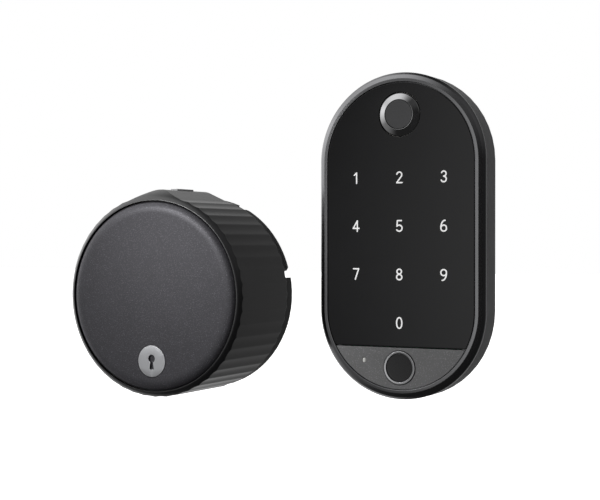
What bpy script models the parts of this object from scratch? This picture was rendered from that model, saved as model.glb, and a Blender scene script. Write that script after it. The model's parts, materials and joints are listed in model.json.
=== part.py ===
"""Keypad smart lock: a round motor lock for the inside of a door, and its touch keypad.

Lengths are in millimetres here, and the helpers turn them into metres. Each unit is modelled
facing out of the door: its local X points right, local Y points up and local Z is the distance
out from the door's face. An empty for each unit turns that into the world's X, Z and -Y.
"""

import math

import bmesh
import bpy

MM = 0.001
GAP = 0.3

# Round motor lock
LOCK_RADIUS = 35.5
LOCK_DEPTH = 40.0
LOCK_BORE = 32.9
SHELL_BACK = 4.8
SHELL_LIP = 39.3
SHELL_LIP_RADIUS = 33.95
SHELL_SHOULDER_CURVE = 0.45
SHELL_SHOULDER_STEPS = 6
COVER_RADIUS = 33.25
COVER_FLAT_RADIUS = 28.6
COVER_ROLL = 1.9
COVER_ROLL_STEPS = 6
COVER_BACK = 37.7
COVER_SEAT = COVER_BACK - GAP
FLUTES = 48
FLUTE_DEPTH = 0.35
FLUTE_POINTS = 3
CREST_TOP = 37.5
CREST_HALF_WIDTH = 1.9
CREST_ROUNDING = 1.0
CREST_FOOT_FLUTES = 2
INSERT_HALF_WIDTH = 1.5
INSERT_TOP = 38.0
INSERT_BACK = 14.1
INSERT_FRONT = 25.2
POCKET_DEPTH = 0.8
POCKET_LENGTH = 4.0
BADGE_RADIUS = 5.55
BADGE_UP = -22.8
BADGE_BACK = 39.5
BADGE_TOP = 40.05

# Plate, chassis and wing latches behind the shell
PLATE_RADIUS = 27.5
PLATE_THICKNESS = 2.4
PLATE_HOLE = 9.0
PLATE_SCREW_OUT = 16.0
CHASSIS_RADIUS = 35.0
CHASSIS_RIM = (3.2, 4.5)
CHASSIS_PLATE = (4.2, 6.2)
CHASSIS_PLATE_RADIUS = 30.6
NECK_RADIUS = 8.0
NECK_BORE = 6.3
NECK_TOP = 8.8
FLANGE_INNER = 29.2
NOTCH_FROM = 10.0
NOTCH_TO = 14.5
NOTCH_FLOOR = 31.5
LATCH_INNER = 29.5
LATCH_BACK = 0.9
LATCH_FRONT = 2.9
LATCH_PIVOT_ANGLE = 60.5
LATCH_TOOTH = (37.0, 43.0)
LATCH_TOOTH_RADIUS = 26.4
PLATE_NOTCH = (33.0, 45.0)
PLATE_NOTCH_RADIUS = 26.0

# Gear train: module, tooth counts and the three layers it fills
MODULE = 0.6
SUN_TEETH = 40
PINION_TEETH = 12
WHEEL_TEETH = 30
MOTOR_TEETH = 10
SUN_LAYER = (6.5, 9.0)
FINAL_LAYER = (9.3, 11.2)
FIRST_LAYER = (11.5, 13.4)
GEAR_BORE = 1.5
AXLE_RADIUS = 1.2
MOTOR_OUT = 25.0
FIRST_GEAR_OUT = 20.0

# Inner frame and what it carries
FRAME_RADIUS = 32.6
FRAME_WALL = 31.2
FRAME_FLOOR = (13.9, 15.5)
FRAME_TOP = 36.4
BATTERY_RADIUS = 8.4
BATTERY_LENGTH = 34.2
BATTERY_OUT = 8.8
BATTERY_CENTRE = 24.3
MAGNET_UP = 27.4
MAGNET_RADIUS = 3.0
MAGNET = (33.6, 36.2)

# Touch keypad, measured from its own centre
PAD_X = 83.8
PAD_UP = 21.0
PAD_RADIUS = 30.2
PAD_STRAIGHT = 25.2
CASE_BACK = 4.9
CASE_EDGE = 0.4
CASE_FLOOR = 7.0
CASE_FRONT = 13.3
CASE_INSIDE = 28.4
FRAME_BACK = 13.6
PAD_FRONT = 16.4
GLASS_RADIUS = 26.7
GLASS = (15.2, 16.3)
TRIM = (15.0, 16.2)
TRIM_EDGE = -37.6
PAD_BUTTON_UP = 41.0
PAD_BUTTON_RADIUS = 7.35
BUTTON_CAP_RADIUS = 4.9
BUTTON_CAP_TOP = 17.1
BUTTON_RING_TOP = 17.2
BUTTON_RING_SLOPE = 0.6
SENSOR_UP = -44.6
SENSOR_RING_RADIUS = 5.65
LIGHT_X = -13.1
LIGHT_UP = -42.4
BRACKET_RADIUS = 26.4
BRACKET_PLATE = 1.6
BRACKET_TOP = CASE_BACK - GAP
BOX_WIDTH = 46.0
BOX_HEIGHT = 51.0
BOX_WALL = 1.3
BOX_BACK = 0.6
LIFT = 4.5
HOOK_X = 14.0
HOOK_UP = (37.0, -36.0)
LUG_UP = -45.5
AAA_RADIUS = 5.15
AAA_LENGTH = 44.0
AAA_PITCH = 10.8
AAA_CENTRE = 7.15

LARGE_SIDES = 70
MEDIUM_SIDES = 36
SMALL_SIDES = 18
ARC_STEPS = 24

# Colour, roughness and metallic value of each kind of surface
BLACK_COAT = ((0.060, 0.060, 0.064), 0.42, 0.3)
DARK_PLASTIC = ((0.030, 0.030, 0.032), 0.50, 0.0)
GREY_PLASTIC = ((0.16, 0.16, 0.17), 0.55, 0.0)
STEEL = ((0.60, 0.60, 0.62), 0.30, 1.0)
SPRING_STEEL = ((0.72, 0.66, 0.50), 0.30, 1.0)
BRASS = ((0.70, 0.53, 0.24), 0.32, 1.0)
WHITE_GEAR = ((0.82, 0.81, 0.77), 0.45, 0.0)
BOARD_GREEN = ((0.03, 0.18, 0.09), 0.45, 0.0)
BATTERY_BLUE = ((0.08, 0.16, 0.38), 0.35, 0.1)
BATTERY_GREY = ((0.30, 0.31, 0.33), 0.30, 0.4)
GLASS_BLACK = ((0.012, 0.012, 0.013), 0.08, 0.0)
RUBBER = ((0.025, 0.025, 0.025), 0.85, 0.0)


def empty_scene():
    for obj in list(bpy.data.objects):
        bpy.data.objects.remove(obj, do_unlink=True)


def new_collection(name):
    collection = bpy.data.collections.new(name)
    bpy.context.scene.collection.children.link(collection)
    return collection


def new_unit(name, x, up):
    """An empty whose X, Y and Z are the door's right, up and outward directions."""
    unit = bpy.data.objects.new(name, None)
    unit.location = (x * MM, 0.0, up * MM)
    unit.rotation_euler = (math.radians(90.0), 0.0, 0.0)
    PARTS.objects.link(unit)
    return unit


def place(obj, unit, at):
    PARTS.objects.link(obj)
    obj.parent = unit
    obj.location = (at[0] * MM, at[1] * MM, 0.0)
    return obj


def paint(obj, surface):
    colour, roughness, metallic = surface
    material = bpy.data.materials.new(obj.name)
    material.use_nodes = True
    shader = material.node_tree.nodes["Principled BSDF"]
    shader.inputs["Base Color"].default_value = (*colour, 1.0)
    shader.inputs["Roughness"].default_value = roughness
    shader.inputs["Metallic"].default_value = metallic
    material.diffuse_color = (*colour, 1.0)
    obj.data.materials.clear()
    obj.data.materials.append(material)
    return obj


def from_bmesh(name, bm, unit, at):
    bmesh.ops.recalc_face_normals(bm, faces=bm.faces)
    mesh = bpy.data.meshes.new(name)
    bm.to_mesh(mesh)
    bm.free()
    return place(bpy.data.objects.new(name, mesh), unit, at)


def disc(name, unit, radius, span, at=(0.0, 0.0), sides=MEDIUM_SIDES):
    """A cylinder that stands out of the door between the two distances in span."""
    bm = bmesh.new()
    bmesh.ops.create_cone(
        bm,
        cap_ends=True,
        segments=sides,
        radius1=radius * MM,
        radius2=radius * MM,
        depth=(span[1] - span[0]) * MM,
    )
    bmesh.ops.translate(bm, verts=bm.verts, vec=(0.0, 0.0, sum(span) / 2 * MM))
    return from_bmesh(name, bm, unit, at)


def rod(name, unit, radius, ends, at, out, sides=SMALL_SIDES):
    """A cylinder that lies along local Y between the two heights in ends."""
    bm = bmesh.new()
    bmesh.ops.create_cone(
        bm,
        cap_ends=True,
        segments=sides,
        radius1=radius * MM,
        radius2=radius * MM,
        depth=(ends[1] - ends[0]) * MM,
    )
    for vert in bm.verts:
        along = vert.co.z
        vert.co.z = vert.co.y + out * MM
        vert.co.y = along + sum(ends) / 2 * MM
    return from_bmesh(name, bm, unit, (at, 0.0))


def block(name, unit, xs, ys, zs, at=(0.0, 0.0)):
    """A box between the two limits given along each local axis."""
    bm = bmesh.new()
    bmesh.ops.create_cube(bm, size=1.0)
    for vert in bm.verts:
        for axis, limits in enumerate((xs, ys, zs)):
            vert.co[axis] = limits[0 if vert.co[axis] < 0.0 else 1] * MM
    return from_bmesh(name, bm, unit, at)


def turned(name, unit, profile, at=(0.0, 0.0), sides=MEDIUM_SIDES, closed=False):
    """A turned solid: (radius, distance out) points, outer side from front to back."""
    mesh = bpy.data.meshes.new(name)
    obj = bpy.data.objects.new(name, mesh)
    bm = bmesh.new()
    verts = [bm.verts.new((radius * MM, 0.0, out * MM)) for radius, out in profile]
    for first, second in zip(verts, verts[1:]):
        bm.edges.new((first, second))
    if closed:
        bm.edges.new((verts[-1], verts[0]))
    bm.to_mesh(mesh)
    bm.free()
    screw = obj.modifiers.new("turn", "SCREW")
    screw.axis = "Z"
    screw.steps = sides
    screw.render_steps = sides
    screw.use_merge_vertices = True
    screw.merge_threshold = 0.00001
    return place(obj, unit, at)


def prism(name, unit, outlines, span, at=(0.0, 0.0)):
    """A flat outline, with any holes after it, given the thickness between the span's limits."""
    curve = bpy.data.curves.new(name, "CURVE")
    curve.dimensions = "2D"
    curve.fill_mode = "BOTH"
    curve.extrude = (span[1] - span[0]) / 2 * MM
    for outline in outlines:
        spline = curve.splines.new("POLY")
        spline.points.add(len(outline) - 1)
        for point, (x, y) in zip(spline.points, outline):
            point.co = (x * MM, y * MM, 0.0, 1.0)
        spline.use_cyclic_u = True
    flat = bpy.data.objects.new(name + "_outline", curve)
    flat.location = (0.0, 0.0, sum(span) / 2 * MM)
    bpy.context.scene.collection.objects.link(flat)
    bpy.context.view_layer.update()
    mesh = bpy.data.meshes.new_from_object(flat)
    mesh.transform(flat.matrix_world)
    bpy.data.objects.remove(flat, do_unlink=True)
    bm = bmesh.new()
    bm.from_mesh(mesh)
    bpy.data.meshes.remove(mesh)
    bmesh.ops.remove_doubles(bm, verts=bm.verts, dist=0.000001)
    return from_bmesh(name, bm, unit, at)


def band(bm, first, second):
    """A band of faces between two loops of equally many points."""
    for index in range(len(first)):
        previous = index - 1
        bm.faces.new((first[previous], first[index], second[index], second[previous]))


def lofted(name, unit, sections, straight, ring=False):
    """Stadium sections (radius, distance out), skinned into a solid or into a closed ring."""
    bm = bmesh.new()
    loops = []
    for radius, out in sections:
        outline = stadium(radius, straight)
        loops.append([bm.verts.new((x * MM, y * MM, out * MM)) for x, y in outline])
    for first, second in zip(loops, loops[1:]):
        band(bm, first, second)
    if ring:
        band(bm, loops[-1], loops[0])
    else:
        bm.faces.new(loops[0])
        bm.faces.new(loops[-1])
    return from_bmesh(name, bm, unit, (0.0, 0.0))


def combine(obj, tool, operation):
    """Cut obj with tool, or join tool to it, and put the tool away."""
    modifier = obj.modifiers.new(tool.name, "BOOLEAN")
    modifier.operation = operation
    modifier.solver = "EXACT"
    modifier.object = tool
    PARTS.objects.unlink(tool)
    CUTTERS.objects.link(tool)
    tool.hide_render = True
    tool.display_type = "WIRE"
    return obj


def cut(obj, *tools):
    for tool in tools:
        combine(obj, tool, "DIFFERENCE")
    return obj


def join(obj, *tools):
    for tool in tools:
        combine(obj, tool, "UNION")
    return obj


def polar(radius, degrees):
    angle = math.radians(degrees)
    return (radius * math.cos(angle), radius * math.sin(angle))


def arc(radius, start, end, steps, centre=(0.0, 0.0)):
    points = []
    for step in range(steps + 1):
        x, y = polar(radius, start + (end - start) * step / steps)
        points.append((centre[0] + x, centre[1] + y))
    return points


def circle(radius, sides=SMALL_SIDES, centre=(0.0, 0.0)):
    return arc(radius, 0.0, 360.0, sides, centre)[:-1]


def rectangle(xs, ys):
    return [(xs[0], ys[0]), (xs[1], ys[0]), (xs[1], ys[1]), (xs[0], ys[1])]


def stadium(radius, straight, steps=ARC_STEPS):
    top = arc(radius, 0.0, 180.0, steps, (0.0, straight))
    return top + arc(radius, 180.0, 360.0, steps, (0.0, -straight))


def stadium_above(radius, straight, edge, steps=ARC_STEPS):
    """The part of a stadium above a level edge that crosses its lower end."""
    reach = math.degrees(math.acos((-straight - edge) / radius))
    turn = 90.0 - reach
    left = arc(radius, 180.0, 180.0 + turn, steps // 3, (0.0, -straight))
    right = arc(radius, 360.0 - turn, 360.0, steps // 3, (0.0, -straight))
    return arc(radius, 0.0, 180.0, steps, (0.0, straight)) + left + right


def stadium_below(radius, straight, edge, steps=ARC_STEPS):
    """The part of a stadium below a level edge that crosses its lower end."""
    turn = math.degrees(math.asin((-straight - edge) / radius))
    return arc(radius, 180.0 + turn, 360.0 - turn, steps, (0.0, -straight))


def shell_outline():
    """Scalloped flutes all round, with a flat-topped crest in place of the top ones."""
    pitch = 360.0 / FLUTES
    foot = CREST_FOOT_FLUTES * pitch
    points = []
    for step in range(FLUTES * FLUTE_POINTS):
        angle = 90.0 + step * pitch / FLUTE_POINTS
        if abs((angle - 90.0 + 180.0) % 360.0 - 180.0) < foot - 0.01:
            continue
        scallop = math.sin(math.pi * (step % FLUTE_POINTS) / FLUTE_POINTS)
        points.append(polar(LOCK_RADIUS - FLUTE_DEPTH * scallop, angle))
    foot_x, foot_up = polar(LOCK_RADIUS, 90.0 - foot)
    slope = (CREST_TOP - foot_up) / (foot_x - CREST_HALF_WIDTH)
    corner = [
        (CREST_HALF_WIDTH + CREST_ROUNDING, CREST_TOP - slope * CREST_ROUNDING),
        (CREST_HALF_WIDTH, CREST_TOP - slope * CREST_ROUNDING / 4),
        (CREST_HALF_WIDTH - CREST_ROUNDING, CREST_TOP),
    ]
    return points + corner + [(-x, up) for x, up in reversed(corner)]


def outer_shell(lock):
    shell = prism("outer_shell", lock, [shell_outline()], (SHELL_BACK, LOCK_DEPTH))
    reach = CREST_TOP + 1.0
    shoulder = []
    for step in range(SHELL_SHOULDER_STEPS + 1):
        outward = (reach - SHELL_LIP_RADIUS) * step / SHELL_SHOULDER_STEPS
        drop = SHELL_SHOULDER_CURVE * outward * outward
        shoulder.append((SHELL_LIP_RADIUS + outward, SHELL_LIP - drop))
    behind = SHELL_BACK - 1.0
    profile = [(0.0, SHELL_LIP)] + shoulder + [(reach, behind), (0.0, behind)]
    envelope = turned("shell_envelope", lock, profile, sides=LARGE_SIDES)
    bore = turned(
        "shell_bore",
        lock,
        [
            (0.0, LOCK_DEPTH + 1.0),
            (COVER_RADIUS + GAP, LOCK_DEPTH + 1.0),
            (COVER_RADIUS + GAP, COVER_SEAT),
            (LOCK_BORE, COVER_SEAT),
            (LOCK_BORE, SHELL_BACK - 2.0),
            (0.0, SHELL_BACK - 2.0),
        ],
        sides=LARGE_SIDES,
    )
    pocket_half = INSERT_HALF_WIDTH + GAP
    pocket = block(
        "insert_pocket",
        lock,
        (-pocket_half, pocket_half),
        (CREST_TOP - POCKET_DEPTH, CREST_TOP + 2.0),
        (INSERT_BACK - GAP, INSERT_FRONT + POCKET_LENGTH),
    )
    combine(shell, envelope, "INTERSECT")
    cut(shell, bore, pocket)
    return paint(shell, BLACK_COAT)


def crest_insert(lock):
    insert = block(
        "crest_insert",
        lock,
        (-INSERT_HALF_WIDTH, INSERT_HALF_WIDTH),
        (CREST_TOP - POCKET_DEPTH + GAP, INSERT_TOP),
        (INSERT_BACK, INSERT_FRONT),
    )
    bevel = insert.modifiers.new("edges", "BEVEL")
    bevel.width = 0.25 * MM
    bevel.segments = 1
    return paint(insert, GREY_PLASTIC)


def face_cover(lock):
    profile = [(0.0, LOCK_DEPTH)]
    for step in range(COVER_ROLL_STEPS + 1):
        rise, across = polar(1.0, 90.0 * step / COVER_ROLL_STEPS)
        radius = COVER_FLAT_RADIUS + (COVER_RADIUS - COVER_FLAT_RADIUS) * across
        profile.append((radius, LOCK_DEPTH - COVER_ROLL * (1.0 - rise)))
    profile += [(COVER_RADIUS, COVER_BACK), (0.0, COVER_BACK)]
    cover = turned("face_cover", lock, profile, sides=LARGE_SIDES)
    pocket = disc(
        "badge_pocket",
        lock,
        BADGE_RADIUS + GAP,
        (BADGE_BACK - GAP, LOCK_DEPTH + 1.0),
        at=(0.0, BADGE_UP),
    )
    cut(cover, pocket)
    return paint(cover, BLACK_COAT)


def badge_inlay(lock):
    """A plain disc with a keyhole through it."""
    hole_radius = 1.35
    slot_half = 0.6
    slot_low = -2.9
    start = -90.0 + math.degrees(math.asin(slot_half / hole_radius))
    eye = arc(hole_radius, start, 180.0 - start, 16, (0.0, 0.9))
    keyhole = eye + [(-slot_half * 1.5, slot_low), (slot_half * 1.5, slot_low)]
    outlines = [circle(BADGE_RADIUS, MEDIUM_SIDES), keyhole]
    badge = prism("badge_inlay", lock, outlines, (BADGE_BACK, BADGE_TOP), (0.0, BADGE_UP))
    return paint(badge, STEEL)


def cover_steel_plate(lock):
    outlines = [circle(30.0, MEDIUM_SIDES), circle(22.0, MEDIUM_SIDES)]
    return paint(prism("cover_steel_plate", lock, outlines, (36.7, 37.4)), STEEL)


def csk_profile(head_radius, shank_radius, front, back, grow=0.0):
    """A countersunk screw: its head is flush at front and its shank ends at back."""
    head_depth = head_radius - shank_radius
    return [
        (0.0, front),
        (head_radius + grow, front),
        (shank_radius + grow, front - head_depth),
        (shank_radius + grow, back),
        (0.0, back),
    ]


def mounting_plate(lock):
    right = arc(PLATE_RADIUS, -90.0, PLATE_NOTCH[0], 20)
    right += arc(PLATE_NOTCH_RADIUS, PLATE_NOTCH[0], PLATE_NOTCH[1], 3)
    right += arc(PLATE_RADIUS, PLATE_NOTCH[1], 90.0, 8)
    left = [(-x, y) for x, y in reversed(right[1:-1])]
    outlines = [right + left, circle(PLATE_HOLE, MEDIUM_SIDES)]
    plate = prism("mounting_plate", lock, outlines, (0.0, PLATE_THICKNESS))
    for side, x in (("left", -PLATE_SCREW_OUT), ("right", PLATE_SCREW_OUT)):
        profile = csk_profile(4.0, 2.0, PLATE_THICKNESS, -1.0, GAP)
        profile[0] = (0.0, PLATE_THICKNESS + 0.5)
        profile.insert(1, (4.0 + GAP, PLATE_THICKNESS + 0.5))
        cut(plate, turned("countersink_" + side, lock, profile, (x, 0.0), SMALL_SIDES))
    return paint(plate, STEEL)


def mounting_screws(lock):
    for side, x in (("left", -PLATE_SCREW_OUT), ("right", PLATE_SCREW_OUT)):
        profile = csk_profile(4.0, 2.0, PLATE_THICKNESS - 0.1, -18.0)
        screw = turned("mounting_screw_" + side, lock, profile, (x, 0.0), SMALL_SIDES)
        paint(cut_cross(screw, lock, (x, 0.0), 1.1, PLATE_THICKNESS - 0.1), STEEL)


def cut_cross(screw, unit, at, reach, front):
    """Sink a cross-shaped driver recess into a screw's head."""
    half = reach / 3.5
    depth = (front - 0.9, front + 1.0)
    name = screw.name
    cut(
        screw,
        block(name + "_slot_up", unit, (-half, half), (-reach, reach), depth, at),
        block(name + "_slot_across", unit, (-reach, reach), (-half, half), depth, at),
    )
    return screw


def sector(inner, outer, start, end, steps):
    return arc(outer, start, end, steps) + arc(inner, end, start, steps)


def rear_chassis(lock):
    chassis = disc("rear_chassis", lock, CHASSIS_RADIUS, CHASSIS_RIM, sides=LARGE_SIDES)
    floor = (0.5, CHASSIS_RIM[0] + 0.4)
    lower = sector(FLANGE_INNER, CHASSIS_RADIUS - 0.02, 168.0, 372.0, 40)
    upper = sector(FLANGE_INNER, CHASSIS_RADIUS - 0.02, 68.0, 112.0, 10)
    join(
        chassis,
        disc("chassis_plate", lock, CHASSIS_PLATE_RADIUS, CHASSIS_PLATE, sides=LARGE_SIDES),
        prism("lower_flange", lock, [lower], floor),
        prism("upper_flange", lock, [upper], floor),
        disc("neck", lock, NECK_RADIUS, (CHASSIS_PLATE[1] - 0.5, NECK_TOP)),
    )
    cut(chassis, disc("neck_bore", lock, NECK_BORE, (0.0, NECK_TOP + 1.0)))
    for side, mirror in (("right", 1.0), ("left", -1.0)):
        notch = sector(NOTCH_FLOOR, CHASSIS_RADIUS + 1.0, NOTCH_FROM, NOTCH_TO, 3)
        notch = [(mirror * x, y) for x, y in notch]
        pivot_x, pivot_y = latch_pivot()
        cut(
            chassis,
            prism("finger_notch_" + side, lock, [notch], (0.0, CHASSIS_RIM[1] + 0.1)),
            disc(
                "pin_hole_" + side,
                lock,
                1.3,
                (2.0, CHASSIS_RIM[1] + 0.5),
                at=(mirror * pivot_x, pivot_y),
                sides=SMALL_SIDES,
            ),
        )
    return paint(chassis, DARK_PLASTIC)


def latch_pivot():
    return polar((CHASSIS_RADIUS + LATCH_INNER) / 2, LATCH_PIVOT_ANGLE)


def wing_latches(lock):
    """Crescent levers at the back, each hinged on a pin at its upper end."""
    end_radius = (CHASSIS_RADIUS - LATCH_INNER) / 2
    pivot = latch_pivot()
    outline = [polar(LATCH_INNER + 0.4, NOTCH_TO), polar(CHASSIS_RADIUS - 0.9, NOTCH_TO)]
    outline += arc(CHASSIS_RADIUS, NOTCH_TO + 1.6, LATCH_PIVOT_ANGLE, 14)
    outline += arc(end_radius, LATCH_PIVOT_ANGLE, LATCH_PIVOT_ANGLE + 180.0, 8, pivot)[1:-1]
    outline += arc(LATCH_INNER, LATCH_PIVOT_ANGLE, LATCH_TOOTH[1], 4)
    outline += arc(LATCH_TOOTH_RADIUS, LATCH_TOOTH[1], LATCH_TOOTH[0], 2)
    outline += arc(LATCH_INNER, LATCH_TOOTH[0], NOTCH_TO + 0.8, 6)
    hole = circle(1.3, SMALL_SIDES)
    pin = [(0.0, 4.3), (1.0, 4.3), (1.0, 0.6), (1.8, 0.6), (1.8, 0.15), (0.0, 0.15)]
    for side, mirror in (("right", 1.0), ("left", -1.0)):
        around_pin = [(mirror * (x - pivot[0]), y - pivot[1]) for x, y in outline]
        at = (mirror * pivot[0], pivot[1])
        span = (LATCH_BACK, LATCH_FRONT)
        latch = prism(side + "_wing_latch", lock, [around_pin, hole], span, at)
        paint(latch, DARK_PLASTIC)
        paint(turned(side + "_latch_pin", lock, pin, at, SMALL_SIDES), STEEL)


def gear_outline(teeth, phase):
    """Straight-sided teeth around the pitch circle, one of them centred on phase."""
    pitch_radius = MODULE * teeth / 2
    tip = pitch_radius + 0.42
    root = pitch_radius - 0.62
    step = math.tau / teeth
    points = []
    for tooth in range(teeth):
        centre = phase + tooth * step
        for radius, share in ((root, -0.30), (tip, -0.12), (tip, 0.12), (root, 0.30)):
            angle = centre + share * step
            points.append((radius * math.cos(angle), radius * math.sin(angle)))
    return points


def meshing_phase(driver_teeth, driver_phase, teeth, bearing):
    """Phase of a gear that meshes with another one, seen from it at the bearing angle."""
    turn = (bearing - driver_phase) * driver_teeth / teeth
    return bearing + math.pi + turn + math.pi / teeth


def gear_places():
    """Centres of the final and first reduction gears, and of the motor, and their bearings."""
    final_out = MODULE * (SUN_TEETH + PINION_TEETH) / 2
    between = MODULE * (WHEEL_TEETH + PINION_TEETH) / 2
    motor_gap = MODULE * (WHEEL_TEETH + MOTOR_TEETH) / 2
    motor = (MOTOR_OUT, 0.0)
    first_turn = corner_angle(FIRST_GEAR_OUT, MOTOR_OUT, motor_gap)
    first = (FIRST_GEAR_OUT * math.cos(first_turn), FIRST_GEAR_OUT * math.sin(first_turn))
    final_turn = first_turn + corner_angle(FIRST_GEAR_OUT, final_out, between)
    final = (final_out * math.cos(final_turn), final_out * math.sin(final_turn))
    return final, first, motor


def corner_angle(side, other, opposite):
    """Angle between two sides of a triangle, from all three lengths."""
    cosine = (side * side + other * other - opposite * opposite) / (2 * side * other)
    return math.acos(cosine)


def bearing_from(start, end):
    return math.atan2(end[1] - start[1], end[0] - start[0])


def stepped_gear(name, unit, at, wheel_phase, wheel_layer, pinion_phase, pinion_layer):
    """A wheel with a smaller pinion behind it, on one bore."""
    wheel = prism(
        name,
        unit,
        [gear_outline(WHEEL_TEETH, wheel_phase), circle(GEAR_BORE)],
        wheel_layer,
        at,
    )
    pinion = prism(
        name + "_pinion",
        unit,
        [gear_outline(PINION_TEETH, pinion_phase), circle(GEAR_BORE)],
        (pinion_layer[0], wheel_layer[0] + 0.5),
        at,
    )
    return paint(join(wheel, pinion), WHITE_GEAR)


def gear_train(lock):
    final, first, motor = gear_places()
    to_final = bearing_from((0.0, 0.0), final)
    final_to_first = bearing_from(final, first)
    first_to_motor = bearing_from(first, motor)
    final_pinion = meshing_phase(SUN_TEETH, 0.0, PINION_TEETH, to_final)
    first_pinion = meshing_phase(WHEEL_TEETH, 0.0, PINION_TEETH, final_to_first)
    motor_phase = meshing_phase(WHEEL_TEETH, 0.0, MOTOR_TEETH, first_to_motor)

    sun_outlines = [gear_outline(SUN_TEETH, 0.0), circle(NECK_RADIUS + GAP, MEDIUM_SIDES)]
    paint(prism("fixed_sun_gear", lock, sun_outlines, SUN_LAYER), BRASS)
    stepped_gear(
        "final_reduction_gear", lock, final, 0.0, FINAL_LAYER, final_pinion, SUN_LAYER
    )
    stepped_gear(
        "first_reduction_gear", lock, first, 0.0, FIRST_LAYER, first_pinion, FINAL_LAYER
    )
    pinion = prism(
        "motor_pinion", lock, [gear_outline(MOTOR_TEETH, motor_phase)], FIRST_LAYER, motor
    )
    shaft = disc("motor_shaft", lock, 0.9, (FIRST_LAYER[1] - 0.5, 15.6), motor, SMALL_SIDES)
    paint(join(pinion, shaft), BRASS)
    axle_top = FRAME_FLOOR[1] - 0.2
    for name, at, back in (("final", final, SUN_LAYER[0]), ("first", first, FINAL_LAYER[0])):
        axle = disc(name + "_gear_axle", lock, AXLE_RADIUS, (back, axle_top), at, SMALL_SIDES)
        paint(axle, STEEL)


def motor(lock):
    at = gear_places()[2]
    profile = [(0.0, 35.0), (2.2, 35.0), (2.2, 34.3), (5.3, 34.3), (5.8, 33.8)]
    profile += [(5.8, 16.4), (5.3, 15.9), (0.0, 15.9)]
    return paint(turned("motor", lock, profile, at), STEEL)


def bearing_ring(lock):
    inner = CHASSIS_PLATE_RADIUS + GAP
    outlines = [circle(LOCK_BORE - GAP, LARGE_SIDES), circle(inner, LARGE_SIDES)]
    return paint(prism("bearing_ring", lock, outlines, (4.8, 7.2)), WHITE_GEAR)


def tailpiece_adapter(lock):
    profile = [(0.0, 13.6), (5.2, 13.6), (5.2, 9.2), (6.0, 9.0), (6.0, 0.8), (0.0, 0.8)]
    adapter = turned("tailpiece_adapter", lock, profile)
    cut(adapter, block("tailpiece_slot", lock, (-2.2, 2.2), (-4.2, 4.2), (-1.0, 8.0)))
    return paint(adapter, STEEL)


def inner_frame(lock):
    floor_back, floor_front = FRAME_FLOOR
    frame = turned(
        "inner_frame",
        lock,
        [
            (0.0, floor_front),
            (FRAME_WALL, floor_front),
            (FRAME_WALL, FRAME_TOP),
            (FRAME_RADIUS, FRAME_TOP),
            (FRAME_RADIUS, floor_back),
            (0.0, floor_back),
        ],
        sides=LARGE_SIDES,
    )
    sunk = floor_front - 0.4
    for name, side in (("upper", 1.0), ("lower", -1.0)):
        ends = sorted((side * 19.9, side * 21.3))
        join(
            frame,
            block(name + "_battery_wall", lock, (-17.8, 17.8), ends, (sunk, 28.0)),
            disc(
                name + "_magnet_post",
                lock,
                MAGNET_RADIUS + 0.2,
                (sunk, MAGNET[0] - GAP),
                (0.0, side * MAGNET_UP),
                SMALL_SIDES,
            ),
            disc(name + "_screw_post", lock, 2.6, (sunk, 23.0), (-25.0, side * 12.0), SMALL_SIDES),
        )
        cut(
            frame,
            disc(
                name + "_screw_hole",
                lock,
                1.3,
                (floor_back - 1.0, 21.5),
                (-25.0, side * 12.0),
                SMALL_SIDES,
            ),
        )
    for name, at in zip(("final", "first", "motor"), gear_places()):
        hole = disc(name + "_bore", lock, GEAR_BORE, (10.0, floor_front + 0.6), at, SMALL_SIDES)
        cut(frame, hole)
    return paint(frame, GREY_PLASTIC)


def frame_screws(lock):
    for name, side in (("upper", 1.0), ("lower", -1.0)):
        head_top = FRAME_FLOOR[0] - GAP
        profile = [
            (0.0, 20.5),
            (1.0, 20.5),
            (1.0, head_top),
            (2.2, head_top),
            (2.2, head_top - 1.3),
            (0.0, head_top - 1.3),
        ]
        screw = turned("frame_screw_" + name, lock, profile, (-25.0, side * 12.0), SMALL_SIDES)
        paint(screw, STEEL)


def cell(name, unit, radius, length, x, out, surface, nub):
    """A round battery that lies along local Y, with its raised terminal at the upper end."""
    half = length / 2
    body = rod(name, unit, radius, (-half, half - 1.0), x, out, SMALL_SIDES + 4)
    join(body, rod(name + "_terminal", unit, nub, (half - 1.4, half), x, out, 12))
    return paint(body, surface)


def contact_strip(name, unit, width, y, out, bumps, bump_radius, reach):
    """A spring contact across the cells' ends, with a bump for each cell."""
    side = 1.0 if y > 0.0 else -1.0
    ends = sorted((y, y + side * 0.6))
    strip = block(name, unit, (-width / 2, width / 2), ends, (out - 2.6, out + 2.6))
    for index, x in enumerate(bumps):
        limits = sorted((y - side * reach, y + side * 0.3))
        join(strip, rod(f"{name}_bump_{index}", unit, bump_radius, limits, x, out, 10))
    return paint(strip, SPRING_STEEL)


def lock_power(lock):
    half = BATTERY_LENGTH / 2
    for name, x in (("left", -BATTERY_OUT), ("right", BATTERY_OUT)):
        cell(
            "lock_battery_" + name,
            lock,
            BATTERY_RADIUS,
            BATTERY_LENGTH,
            x,
            BATTERY_CENTRE,
            BATTERY_GREY,
            3.2,
        )
    for name, side in (("upper", 1.0), ("lower", -1.0)):
        contact_strip(
            "lock_contact_" + name,
            lock,
            30.0,
            side * (half + 1.6),
            BATTERY_CENTRE,
            (-BATTERY_OUT, BATTERY_OUT),
            2.4,
            1.2,
        )


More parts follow.
